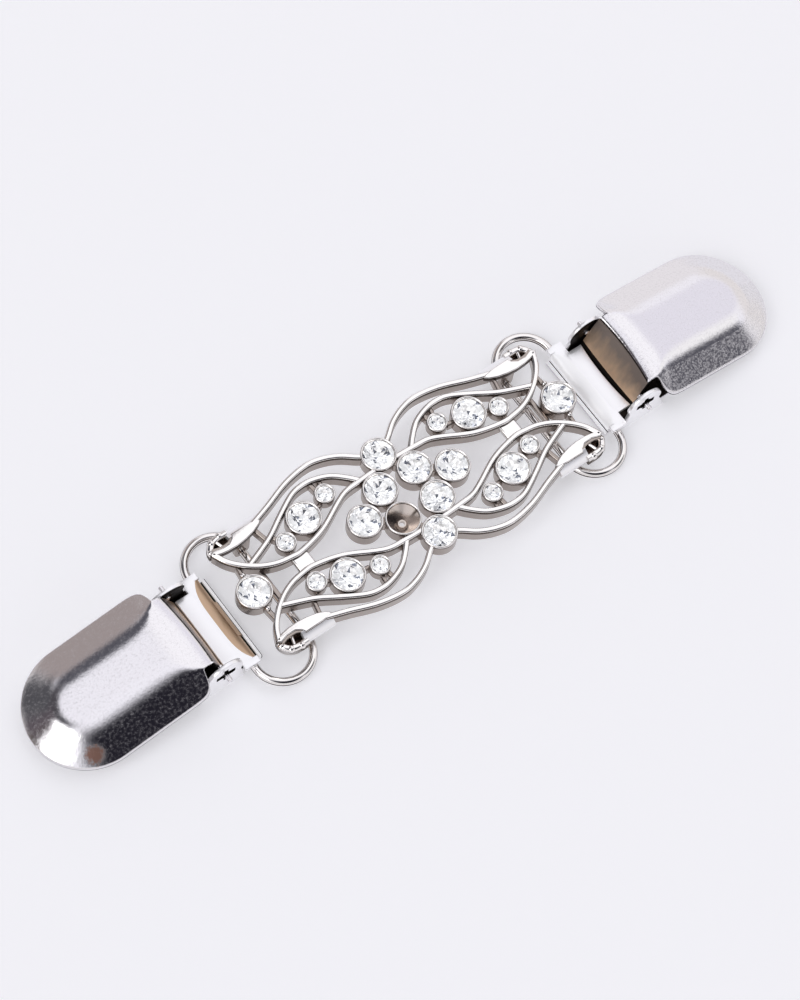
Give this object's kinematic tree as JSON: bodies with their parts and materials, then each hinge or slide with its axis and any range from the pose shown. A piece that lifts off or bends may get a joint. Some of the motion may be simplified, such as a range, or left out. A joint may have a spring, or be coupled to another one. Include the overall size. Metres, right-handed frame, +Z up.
{
  "type": "shawl clasp",
  "caption": "Shawl clasp: a pierced nickel-plated ornament set with cut clear stones, one cup empty, held by wire loops between two lever clips.",
  "frame": {"origin": "centre of the clasp's bounding box, on the table under it", "axes": "+X along the clasp towards the right-hand clip, +Y across it, +Z up from the table towards the stones"},
  "size_m": [0.1286, 0.0268, 0.0079],
  "materials": {
    "cast_plated_metal": "polished",
    "plated_wire": "polished",
    "plated_sheet": "polished",
    "cut_glass": "polished"
  },
  "bodies": {
    "ornament": {"ornament_frame": "cast_plated_metal", "stone_centre_1": "cut_glass", "stone_centre_2": "cut_glass", "stone_centre_3": "cut_glass", "stone_centre_4": "cut_glass", "stone_centre_5": "cut_glass", "stone_centre_6": "cut_glass", "stone_centre_7": "cut_glass", "stone_end_left": "cut_glass", "stone_end_right": "cut_glass", "stone_left_upper_inner": "cut_glass", "stone_left_upper_middle": "cut_glass", "stone_left_upper_outer": "cut_glass", "stone_left_lower_inner": "cut_glass", "stone_left_lower_middle": "cut_glass", "stone_left_lower_outer": "cut_glass", "stone_right_upper_inner": "cut_glass", "stone_right_upper_middle": "cut_glass", "stone_right_upper_outer": "cut_glass", "stone_right_lower_inner": "cut_glass", "stone_right_lower_middle": "cut_glass", "stone_right_lower_outer": "cut_glass"},
    "loop_left": {"wire_loop_left": "plated_wire"},
    "loop_right": {"wire_loop_right": "plated_wire"},
    "base_left": {"clip_base_left": "plated_sheet"},
    "base_right": {"clip_base_right": "plated_sheet"},
    "cover_left": {"clip_cover_left": "plated_sheet"},
    "cover_right": {"clip_cover_right": "plated_sheet"}
  },
  "joints": [
    {"name": "loop_left_swing", "type": "hinge", "parent": "ornament", "child": "loop_left", "pos_m": [-0.0236, 0, 0.00125], "axis": [0, 1, 0], "range_deg": [-75, 10]},
    {"name": "clip_left_swing", "type": "hinge", "parent": "loop_left", "child": "base_left", "pos_m": [-0.0324, 0, 0.00125], "axis": [0, 1, 0], "range_deg": [-60, 45]},
    {"name": "cover_left_lift", "type": "hinge", "parent": "base_left", "child": "cover_left", "pos_m": [-0.03725, 0, 0.0046], "axis": [0, 1, 0], "range_deg": [0, 90]},
    {"name": "loop_right_swing", "type": "hinge", "parent": "ornament", "child": "loop_right", "pos_m": [0.0236, 0, 0.00125], "axis": [0, -1, 0], "range_deg": [-75, 10]},
    {"name": "clip_right_swing", "type": "hinge", "parent": "loop_right", "child": "base_right", "pos_m": [0.0324, 0, 0.00125], "axis": [0, -1, 0], "range_deg": [-60, 45]},
    {"name": "cover_right_lift", "type": "hinge", "parent": "base_right", "child": "cover_right", "pos_m": [0.03725, 0, 0.0046], "axis": [0, -1, 0], "range_deg": [0, 90]}
  ]
}
